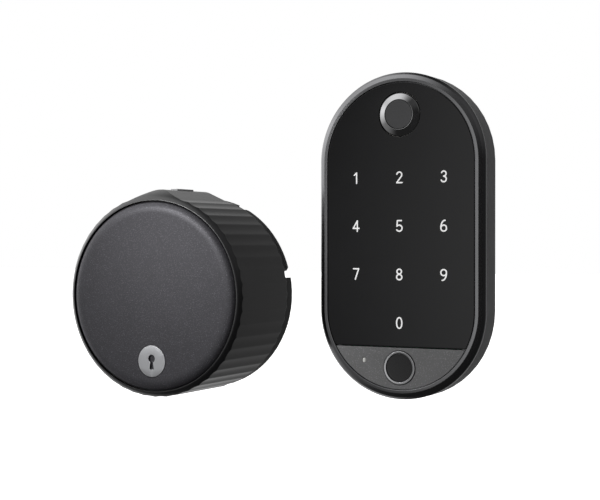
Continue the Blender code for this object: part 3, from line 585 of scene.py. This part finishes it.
COAT = surface("fluted_coat", (0.010, 0.010, 0.011), 0.33, grain=0.16, depth=0.003, ior=1.65)
FACE = surface(
    "sparkle_coat",
    (0.057, 0.0555, 0.063),
    0.42,
    metallic=0.45,
    grain=0.16,
    depth=0.006,
    mottle=0.05,
    sparkle=0.6,
)
BADGE = metal("satin_badge", (0.47, 0.475, 0.49), 0.42, grain=0.12, depth=0.002, mottle=0.03)
INSERT = surface("insert_plastic", (0.60, 0.60, 0.61), 0.55, grain=0.15, depth=0.004)
BEZEL = metal("bezel_coat", (0.175, 0.175, 0.18), 0.24, grain=0.14, depth=0.0012, mottle=0.05)
CASE = surface("case_plastic", (0.230, 0.230, 0.235), 0.46, grain=0.22, depth=0.010, mottle=0.08)
GLASS = surface(
    "black_glass", (0.008, 0.008, 0.009), 0.06, grain=3.0, depth=0.0006, mottle=0.1, ior=1.42
)
TRIM = surface(
    "speckled_trim",
    (0.200, 0.200, 0.203),
    0.5,
    metallic=0.1,
    depth=0.008,
    mottle=0.06,
    sparkle=0.25,
)
RING = metal("polished_ring", (0.34, 0.34, 0.345), 0.12, grain=0.5, depth=0.0006, mottle=0.03)
CAP = metal("button_satin", (0.095, 0.095, 0.097), 0.34, grain=0.13, depth=0.002, mottle=0.04)
SENSOR_RING = metal(
    "sensor_ring_metal", (0.42, 0.42, 0.43), 0.24, grain=0.3, depth=0.001, mottle=0.04
)
SENSOR = surface("sensor_cover", (0.008, 0.008, 0.009), 0.30, depth=0.002, mottle=0.08)
# The digits are white print that also glows a little: painted light that makes them brighter than the
# lamps light them
PRINT_WITH_PAINTED_GLOW = glowing(surface("digit_print_painted_glow", (0.80, 0.80, 0.80), 0.5, grain=0.2, mottle=0.02), (1, 1, 1), 0.45)
LIGHT = glowing(surface("status_light_lens", (0.7, 0.7, 0.68), 0.35, mottle=0.05), (1, 1, 0.95), 0.15)
DARK = surface("dark_plastic", (0.022, 0.022, 0.023), 0.48, grain=0.25, depth=0.012, mottle=0.1)
MOULDED = surface("grey_plastic", (0.11, 0.11, 0.115), 0.52, grain=0.3, depth=0.012, mottle=0.07)
STEEL = metal(
    "zinc_steel", (0.5, 0.5, 0.51), 0.30, grain=0.5, mottle=0.10, sparkle=0.1, stretch=(1.0, 1.0, 0.12)
)
SCREW = metal("screw_steel", (0.46, 0.46, 0.47), 0.26, grain=0.25, mottle=0.08)
SPRING = metal("spring_contact", (0.62, 0.55, 0.38), 0.26, grain=0.4, depth=0.003, mottle=0.06)
BRASS = metal("brass", (0.60, 0.43, 0.17), 0.28, grain=0.3, depth=0.003, mottle=0.08)
GEAR = surface("gear_plastic", (0.72, 0.71, 0.66), 0.42, grain=0.35, depth=0.008, mottle=0.04)
BOARD = circuit_board()
RUBBER = surface("rubber", (0.018, 0.018, 0.018), 0.8, grain=0.3, depth=0.02, mottle=0.12)
LOCK_CELL = battery("lock_cell_label", (0.10, 0.10, 0.11), (0.55, 0.25, 0.07), -12.0, 9.0)
PAD_CELL = battery("keypad_cell_label", (0.03, 0.07, 0.22), (0.60, 0.60, 0.62), 1.0, 34.0)


# ---------------------------------------------------------------- round lock


def shell_outline(crest_top, radius):
    """The shell seen from the front: scalloped flutes, and the crest in place of the top ones."""
    points = []
    pitch = 360.0 / FLUTES
    for step in range(FLUTES * FLUTE_STEPS):
        turn = step * pitch / FLUTE_STEPS
        if min(turn, 360.0 - turn) < CREST_FOOT - 0.01:
            continue
        scallop = math.sin(math.pi * (step % FLUTE_STEPS) / FLUTE_STEPS)
        points.append(polar(radius - FLUTE_DEPTH * scallop, 90.0 + turn))
    foot = polar(radius, 90.0 - CREST_FOOT)
    slope = (crest_top - foot[1]) / (foot[0] - CREST_HALF_WIDTH)
    start = (CREST_HALF_WIDTH + CREST_ROUNDING, crest_top - slope * CREST_ROUNDING)
    end = (CREST_HALF_WIDTH - CREST_ROUNDING, crest_top)
    pull = CREST_ROUNDING * CREST_PULL
    before = (start[0] - pull, start[1] + slope * pull)
    after = (end[0] + pull, crest_top)
    flank = []
    for step in range(1, CREST_STEPS):
        share = step / CREST_STEPS
        flank.append(tuple(a + (b - a) * share for a, b in zip(foot, start)))
    right = flank + bezier(start, before, after, end, CREST_STEPS) + [(0.0, crest_top)]
    return points + right + [(-x, up) for x, up in reversed(right[:-1])]


def lock_shell():
    shell = Extent(LOCK, "outer_shell")
    cover = Extent(LOCK, "face_cover")
    insert = Extent(LOCK, "crest_insert")
    bore = shell.radius - SHELL_WALL
    rim = cover.radius + FACE_GAP
    lip = rim + LIP_WIDTH
    seat = cover.back - RIM_GAP
    bm = bmesh.new()
    columns = []
    for x, up in shell_outline(shell.top, shell.radius):
        reach = math.hypot(x, up)
        profile = [(bore, seat, 0.0), (rim, seat, 0.0), (rim, shell.front, 0.08)]
        for step in range(SHOULDER_STEPS + 1):
            outward = (reach - lip) * step / SHOULDER_STEPS
            drop = outward * (SHOULDER_SLOPE + SHOULDER_CURVE * outward)
            profile.append((lip + outward, shell.front - drop, 0.0))
        profile[-1] = (*profile[-1][:2], 0.2)
        profile += [(reach, shell.back, REAR_ROUNDING), (bore, shell.back, 0.2)]
        column = []
        for radius, out in rounded(profile, closed=True):
            share = radius / reach
            column.append(bm.verts.new(LOCK.world(x * share, up * share, out)))
        columns.append(column)
    for index, column in enumerate(columns):
        band(bm, columns[index - 1], column)
    pocket = block(
        LOCK,
        (insert.left - RIM_GAP, insert.right + RIM_GAP),
        (insert.bottom - RIM_GAP, shell.top + POCKET_ABOVE),
        (insert.back - RIM_GAP, insert.front + POCKET_LENGTH),
        POCKET_EDGE,
    )
    piece("lock_shell", carved(bm, pocket), "knob", ["outer_shell"], COAT, 30.0)


def lock_crest_insert():
    insert = Extent(LOCK, "crest_insert")
    bm = block(
        LOCK,
        (insert.left, insert.right),
        (insert.bottom, insert.top),
        (insert.back, insert.front),
        INSERT_EDGE,
    )
    piece("lock_crest_insert", bm, "knob", ["crest_insert"], INSERT)


def lock_face():
    cover = Extent(LOCK, "face_cover")
    badge = Extent(LOCK, "badge_inlay")
    profile = [(0.0, cover.front)]
    for step in range(FACE_ROLL_STEPS + 1):
        corner = polar(1.0, 90.0 * step / FACE_ROLL_STEPS)
        rise, across = (abs(value) ** FACE_ROLL_POWER for value in corner)
        profile.append((
            FACE_FLAT_RADIUS + (cover.radius - FACE_FLAT_RADIUS) * across,
            cover.front - FACE_ROLL * (1.0 - rise),
        ))
    profile += [
        (cover.radius, cover.back + FACE_BACK_EDGE),
        (cover.radius - FACE_BACK_EDGE, cover.back),
        (0.0, cover.back),
    ]
    bm = turned(LOCK, profile, steps=TURN_STEPS * 2)
    wide = badge.radius + BADGE_GAP
    floor = badge.back - BADGE_GAP
    above = cover.front + 1.0
    hole = turned(LOCK, [(0.0, above), (wide, above), (wide, floor), (0.0, floor)], badge.centre)
    piece("lock_face", carved(bm, hole), "cover", ["face_cover"], FACE)


def keyhole(growth, centre):
    radius = KEYHOLE_RADIUS + growth
    half = KEYHOLE_HALF_WIDTH + growth
    start = -90.0 + math.degrees(math.asin(half / radius))
    eye = arc(radius, start, 180.0 - start, HOLE_STEPS // 2, (0.0, KEYHOLE_UP))
    foot = KEYHOLE_FOOT - growth
    foot_half = half * KEYHOLE_FLARE
    outline = eye + [(-foot_half, foot), (foot_half, foot)]
    return [(centre[0] + x, centre[1] + up) for x, up in outline]


def lock_badge():
    badge = Extent(LOCK, "badge_inlay")
    outlines = [
        lambda inset: circle(badge.radius - inset, TURN_STEPS, badge.centre),
        lambda inset: keyhole(inset, badge.centre),
    ]
    bm = slab(LOCK, outlines, badge.back, badge.front, BADGE_EDGE)
    piece("lock_badge", bm, "cover", ["badge_inlay"], BADGE)


# ---------------------------------------------------------------- keypad


def pad_bezel():
    outer = Extent(PAD, "front_frame")
    glass = Extent(PAD, "glass_panel")
    inner = glass.radius + RIM_GAP
    ledge = glass.back - RIM_GAP
    profile = [
        (outer.radius, outer.back - SEAM_FILL, 0.06),
        (outer.radius, outer.back + BEZEL_SIDE, 0.7),
        (outer.radius - BEZEL_STEP_IN, outer.back + BEZEL_STEP_UP, 0.9),
        (outer.radius - BEZEL_CROWN_IN, outer.front - BEZEL_CROWN_DROP, 0.8),
        (inner, outer.front, 0.25),
        (inner, ledge, 0.0),
        (inner - BEZEL_LEDGE, ledge, 0.0),
        (inner - BEZEL_LEDGE, outer.back - SEAM_FILL, 0.0),
    ]
    straight = outer.top - outer.radius
    bm = stadium_ring(PAD, rounded(profile, closed=True), straight)
    piece("keypad_bezel", bm, "keypad", ["front_frame"], BEZEL, 50.0)


def pad_glass():
    glass = Extent(PAD, "glass_panel")
    button = Extent(PAD, "button_ring")
    straight = glass.top - glass.radius
    outlines = [
        lambda inset: stadium_above(glass.radius - inset, straight, glass.bottom + inset),
        lambda inset: circle(button.radius + RIM_GAP + inset, TURN_STEPS, button.centre),
    ]
    bm = slab(PAD, outlines, glass.back, glass.front, PLATE_EDGE)
    piece("keypad_glass", bm, "keypad", ["glass_panel"], GLASS)


def digit_strokes(digit):
    """The centre lines of a digit that is one unit high; a closed one ends where it starts."""
    half = (1.0 - DIGIT_STROKE) / 2
    bowl = 0.245
    low = -half + bowl
    stem = bezier((-bowl, low), (-bowl - 0.01, low + 0.3), (-0.12, half), (0.12, half), 14)
    return {
        "0": [oval(0.235, half, 0.0)],
        "1": [[(-0.17, half - 0.19), (0.04, half)], [(0.04, half), (0.04, -half)]],
        "2": [
            arc(0.225, 168.0, -38.0, 20, (0.0, half - 0.225)),
            [polar_from((0.0, half - 0.225), 0.225, -38.0), (-0.23, -half)],
            [(-0.23, -half), (0.25, -half)],
        ],
        "3": [
            arc(0.205, 158.0, -90.0, 20, (0.0, half - 0.205)),
            arc(0.225, 90.0, -158.0, 22, (0.0, -half + 0.225)),
        ],
        "4": [
            [(0.11, half), (-0.27, -0.19)],
            [(-0.27, -0.19), (0.27, -0.19)],
            [(0.11, half), (0.11, -half)],
        ],
        "5": [
            [(0.2, half), (-0.16, half)],
            [(-0.16, half), (-0.2, 0.06)],
            arc(0.255, 141.0, -146.0, 22, (0.0, -half + 0.255)),
        ],
        "6": [oval(bowl, bowl, low), stem],
        "7": [[(-0.24, half), (0.24, half)], [(0.24, half), (-0.07, -half)]],
        "8": [oval(0.2, 0.195, half - 0.195), oval(0.235, 0.22, -half + 0.22)],
        "9": [oval(bowl, bowl, -low), [(-x, -up) for x, up in stem]],
    }[digit]


def polar_from(centre, radius, degrees):
    x, up = polar(radius, degrees)
    return centre[0] + x, centre[1] + up


def oval(half_width, half_height, up):
    """A closed curve a little squarer than an ellipse."""
    points = []
    for x, y in arc(1.0, 0.0, 360.0, 40):
        across = math.copysign(abs(x) ** OVAL_POWER, x)
        along = math.copysign(abs(y) ** OVAL_POWER, y)
        points.append((half_width * across, up + half_height * along))
    points[-1] = points[0]
    return points


def stroke(bm, points, half, place):
    """A flat stroke along a line of points, with round ends unless it is closed."""
    closed = points[0] == points[-1]
    line = points[:-1] if closed else points
    sides = ([], [])
    headings = []
    for index in range(len(line)):
        before = line[index - 1] if closed or index else line[0]
        after = line[(index + 1) % len(line)] if closed or index < len(line) - 1 else line[-1]
        heading = math.degrees(math.atan2(after[1] - before[1], after[0] - before[0]))
        headings.append(heading)
        for side, turn in zip(sides, (90.0, -90.0)):
            side.append(polar_from(line[index], half, heading + turn))
    if closed:
        loops = [[bm.verts.new(place(*point)) for point in side] for side in sides]
        band(bm, *loops)
        return
    steps = range(1, STROKE_END_STEPS)
    turns = [180.0 * step / STROKE_END_STEPS for step in steps]
    end = [polar_from(line[-1], half, headings[-1] + 90.0 - turn) for turn in turns]
    start = [polar_from(line[0], half, headings[0] - 90.0 - turn) for turn in turns]
    outline = sides[0] + end + sides[1][::-1] + start
    bm.faces.new([bm.verts.new(place(*point)) for point in outline])


def pad_digits():
    """The ten digits, printed on the glass in strokes that lie just over one another."""
    glass = Extent(PAD, "glass_panel")
    bm = bmesh.new()
    for row, digits in enumerate(DIGIT_ROWS):
        up = DIGIT_TOP_ROW - row * DIGIT_PITCH_UP
        for column, digit in enumerate(digits):
            if digit == " ":
                continue
            middle = (column - 1) * DIGIT_PITCH_X
            for layer, points in enumerate(digit_strokes(digit)):
                out = glass.front + PRINT_LIFT + PRINT_LAYER * layer

                def place(x, y):
                    return PAD.world(middle + x * DIGIT_HEIGHT, up + y * DIGIT_HEIGHT, out)

                stroke(bm, points, DIGIT_STROKE / 2, place)
    bmesh.ops.recalc_face_normals(bm, faces=bm.faces)
    bmesh.ops.solidify(bm, geom=bm.faces[:], thickness=DIGIT_THICKNESS * MM)
    piece("keypad_digits", bm, "keypad", [], PRINT_WITH_PAINTED_GLOW)


def pad_trim():
    trim = Extent(PAD, "lower_trim_panel")
    glass = Extent(PAD, "glass_panel")
    sensor = Extent(PAD, "fingerprint_ring")
    light = Extent(PAD, "status_light")
    straight = glass.top - glass.radius
    slot = light.radius + RIM_GAP
    slot_straight = (light.top - light.bottom) / 2 - light.radius

    def light_slot(inset):
        outline = stadium(slot + inset, slot_straight, HOLE_STEPS // 4)
        return [(light.centre[0] + x, light.centre[1] + up) for x, up in outline]

    outlines = [
        lambda inset: stadium_below(glass.radius - inset, straight, trim.top - inset),
        lambda inset: circle(sensor.radius + RIM_GAP + inset, TURN_STEPS, sensor.centre),
        light_slot,
    ]
    bm = slab(PAD, outlines, trim.back, trim.front, PLATE_EDGE)
    piece("keypad_trim", bm, "keypad", ["lower_trim_panel"], TRIM)


def pad_light():
    light = Extent(PAD, "status_light")
    straight = (light.top - light.bottom) / 2 - light.radius

    def outline(inset):
        points = stadium(light.radius - inset, straight, HOLE_STEPS // 4)
        return [(light.centre[0] + x, light.centre[1] + up) for x, up in points]

    bm = slab(PAD, [outline], light.back, light.front, LIGHT_EDGE)
    piece("keypad_status_light", bm, "keypad", ["status_light"], LIGHT)


def pad_button():
    ring = Extent(PAD, "button_ring")
    cap = Extent(PAD, "button_cap")
    inner = BUTTON_CAP_RADIUS + RING_GAP
    wall = ring.radius - BUTTON_RING_WALL
    shelf = cap.front - BUTTON_RING_DEPTH
    disc_back = cap.front - BUTTON_DISC_DEPTH
    stem_top = cap.back + BUTTON_STEM_LENGTH
    profile = [
        (inner, ring.front, 0.12),
        (ring.radius - BUTTON_RIM, ring.front - BUTTON_SLOPE, 0.2),
        (ring.radius, ring.front - BUTTON_SLOPE - BUTTON_RIM, 0.12),
        (ring.radius, ring.back, 0.1),
        (wall, ring.back, 0.0),
        (wall, shelf, 0.0),
        (inner, shelf, 0.0),
    ]
    bm = turned(PAD, rounded(profile, closed=True), ring.centre)
    piece("keypad_button_ring", bm, "keypad", ["button_ring"], RING)
    profile = [
        (0.0, cap.front, 0.0),
        (BUTTON_CAP_RADIUS, cap.front - BUTTON_DISC_DISH, 0.18),
        (BUTTON_CAP_RADIUS, disc_back, 0.0),
        (cap.radius, disc_back, 0.1),
        (cap.radius, stem_top, 0.1),
        (BUTTON_STEM_RADIUS, stem_top, 0.1),
        (BUTTON_STEM_RADIUS, cap.back, 0.1),
        (0.0, cap.back, 0.0),
    ]
    bm = turned(PAD, rounded(profile), cap.centre)
    piece("keypad_button_cap", bm, "push_button", ["button_cap"], CAP)


def pad_sensor():
    ring = Extent(PAD, "fingerprint_ring")
    sensor = Extent(PAD, "fingerprint_sensor")
    inner = sensor.radius + RING_GAP
    profile = [
        (inner, ring.front - SENSOR_RING_DROP, 0.1),
        (ring.radius, ring.front, 0.2),
        (ring.radius, ring.back, 0.1),
        (inner, ring.back, 0.0),
    ]
    bm = turned(PAD, rounded(profile, closed=True), ring.centre)
    piece("keypad_sensor_ring", bm, "keypad", ["fingerprint_ring"], SENSOR_RING)
    profile = [
        (0.0, sensor.front - SENSOR_DISH, 0.0),
        (sensor.radius - SENSOR_DISH_IN, sensor.front - SENSOR_DISH_EDGE, 0.6),
        (sensor.radius, sensor.front, 0.12),
        (sensor.radius, sensor.back, 0.0),
        (0.0, sensor.back, 0.0),
    ]
    bm = turned(PAD, rounded(profile), sensor.centre)
    piece("keypad_sensor", bm, "keypad", ["fingerprint_sensor"], SENSOR)


# ---------------------------------------------------------------- the other CAD pieces


def softened(node, finish, edge):
    """A CAD piece with its flat faces merged, its round ones shaded smooth, and its edges eased."""
    bm = bmesh.new()
    bm.from_mesh(frame["nodes"][node].data)
    bmesh.ops.remove_doubles(bm, verts=bm.verts, dist=MERGE_DISTANCE * MM)
    bmesh.ops.dissolve_limit(
        bm, angle_limit=math.radians(1.0), verts=bm.verts, edges=bm.edges
    )
    body = frame["nodes"][node]["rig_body"]
    obj = piece("fine_" + node, bm, body, [node], finish)
    if edge:
        bevel = obj.modifiers.new("eased edges", "BEVEL")
        bevel.width = edge * MM
        bevel.segments = 2
        bevel.limit_method = "ANGLE"
        bevel.angle_limit = math.radians(35.0)
        obj.modifiers.move(1, 0)


# Known fault: once its edges are eased, the rear chassis's back face is drawn across its own bore
OTHER_PIECES = (
    (STEEL, 0.12, ("mounting_plate", "cover_steel_plate")),
    (SCREW, 0.06, ("mounting_screw_left", "mounting_screw_right", "bracket_screw_top")),
    (SCREW, 0.06, ("bracket_screw_bottom", "frame_screw_upper", "frame_screw_lower")),
    (SCREW, 0.06, ("security_screw", "right_latch_pin", "left_latch_pin", "tailpiece_adapter")),
    (SCREW, 0.05, ("final_gear_axle", "first_gear_axle", "motor", "button_switch")),
    (SCREW, 0.1, ("cover_magnet_upper", "cover_magnet_lower")),
    (DARK, 0.15, ("rear_chassis", "right_wing_latch", "left_wing_latch", "wall_bracket")),
    (DARK, 0.1, ("battery_door", "buzzer")),
    (CASE, 0.06, ("rear_case",)),
    (MOULDED, 0.12, ("inner_frame",)),
    (GEAR, 0.05, ("final_reduction_gear", "first_reduction_gear", "bearing_ring", "light_guide")),
    (BRASS, 0.05, ("fixed_sun_gear", "motor_pinion")),
    (SPRING, 0.05, ("lock_contact_upper", "lock_contact_lower")),
    (SPRING, 0.05, ("keypad_contact_upper", "keypad_contact_lower")),
    (BOARD, 0.0, ("lock_main_board", "antenna_board", "keypad_board")),
    (LOCK_CELL, 0.3, ("lock_battery_left", "lock_battery_right")),
    (PAD_CELL, 0.2, ("keypad_battery_1", "keypad_battery_2")),
    (PAD_CELL, 0.2, ("keypad_battery_3", "keypad_battery_4")),
    (RUBBER, 0.05, ("case_seal", "button_return_pad")),
)


# ---------------------------------------------------------------- floor, light and camera


def step_up(tree, value, low, high, top):
    """A smooth step from 0 to top as a value goes from low to high."""
    node = tree.nodes.new("ShaderNodeMapRange")
    node.interpolation_type = "SMOOTHSTEP"
    node.inputs["From Min"].default_value = low
    node.inputs["From Max"].default_value = high
    node.inputs["To Max"].default_value = top
    tree.links.new(value, node.inputs["Value"])
    return node.outputs["Result"]


def towards(tree, direction, place):
    """The cosine of the angle between where a ray goes and a direction."""
    node = tree.nodes.new("ShaderNodeVectorMath")
    node.operation = "DOT_PRODUCT"
    node.inputs[1].default_value = Vector(direction).normalized()
    tree.links.new(place, node.inputs[0])
    return node.outputs["Value"]


def added(tree, total, extra):
    """A number or a node's output, with another node's output added to it."""
    node = tree.nodes.new("ShaderNodeMath")
    if isinstance(total, float):
        node.inputs[0].default_value = total
    else:
        tree.links.new(total, node.inputs[0])
    tree.links.new(extra, node.inputs[1])
    return node.outputs["Value"]


def studio():
    """A room that is plain white to the camera, and to everything else is soft panels at the left,
    above, behind and in front, with a dark side to the right."""
    world = bpy.data.worlds.new("studio")
    bpy.context.scene.world = world
    world.use_nodes = True
    tree = world.node_tree
    background = tree.nodes["Background"]
    background.inputs["Color"].default_value = (1.0, 1.0, 1.0, 1.0)
    place = tree.nodes.new("ShaderNodeTexCoord").outputs["Generated"]
    light = ROOM_LIGHT
    middle = math.cos(math.radians(PANEL_MIDDLE))
    for bearing, height, half_width, strength in SOFT_PANELS:
        level, rise = polar(1.0, height)
        across, ahead = polar(level, bearing - 90.0)
        edge = math.cos(math.radians(half_width))
        facing = towards(tree, (across, ahead, rise), place)
        light = added(tree, light, step_up(tree, facing, edge, middle, strength))
    seen = tree.nodes.new("ShaderNodeLightPath").outputs["Is Camera Ray"]
    shown = tree.nodes.new("ShaderNodeMix")
    shown.inputs[3].default_value = 1.0
    tree.links.new(seen, shown.inputs["Factor"])
    tree.links.new(light, shown.inputs[2])
    tree.links.new(shown.outputs[0], background.inputs["Strength"])
    bpy.context.scene.view_settings.view_transform = "Standard"


def face_spot():
    """A soft spot on the upper right of the round lock's face."""
    lamp = bpy.data.lights.new("face_spot", "SPOT")
    lamp.energy = SPOT_POWER
    lamp.spot_size = math.radians(SPOT_ANGLE)
    lamp.spot_blend = 1.0
    lamp.shadow_soft_size = SPOT_SOFTNESS * MM
    obj = bpy.data.objects.new("face_spot", lamp)
    obj.location = (Vector(SPOT_TARGET) + Vector(SPOT_OFFSET)) * MM
    obj.rotation_euler = Vector(SPOT_OFFSET).to_track_quat("Z", "Y").to_euler()
    obj.visible_camera = False
    bpy.context.scene.collection.objects.link(obj)


def floor():
    """White paper that only the camera sees: it takes no shadow and lights nothing."""
    bm = bmesh.new()
    bmesh.ops.create_grid(bm, x_segments=1, y_segments=1, size=FLOOR_SIZE * MM)
    mesh = bpy.data.meshes.new("floor")
    bm.to_mesh(mesh)
    bm.free()
    made = Nodes("floor_paper")
    tone = made.mix(made.spread(made.noise(60.0), 0.0, 1.0), (0.80, 0.80, 0.80), (0.83, 0.83, 0.83))
    made.link(tone, made.shader.inputs["Base Color"])
    made.shader.inputs["Roughness"].default_value = 0.9
    mesh.materials.append(glowing(made.material, (1.0, 1.0, 1.0), FLOOR_GLOW))
    obj = bpy.data.objects.new("floor", mesh)
    obj.location = (0.0, 0.0, cad_box[0].z - FLOOR_BELOW * MM)
    obj.visible_glossy = False
    obj.visible_diffuse = False
    obj.visible_shadow = False
    bpy.context.scene.collection.objects.link(obj)


def camera():
    """The one view that the photo shows."""
    lens = bpy.data.cameras.new("camera")
    lens.lens = CAMERA_LENS
    lens.sensor_width = CAMERA_SENSOR
    lens.clip_start = CAMERA_NEAR * MM
    obj = bpy.data.objects.new("camera", lens)
    obj.location = Vector(CAMERA_PLACE) * MM
    obj.rotation_euler = (math.radians(90.0 - CAMERA_DIP), 0.0, math.radians(CAMERA_TURN))
    bpy.context.scene.collection.objects.link(obj)
    bpy.context.scene.camera = obj


camera()
studio()
face_spot()
floor()
lock_shell()
lock_crest_insert()
lock_face()
lock_badge()
pad_bezel()
pad_glass()
pad_digits()
pad_trim()
pad_light()
pad_button()
pad_sensor()
for finish, edge, names in OTHER_PIECES:
    for name in names:
        softened(name, finish, edge)
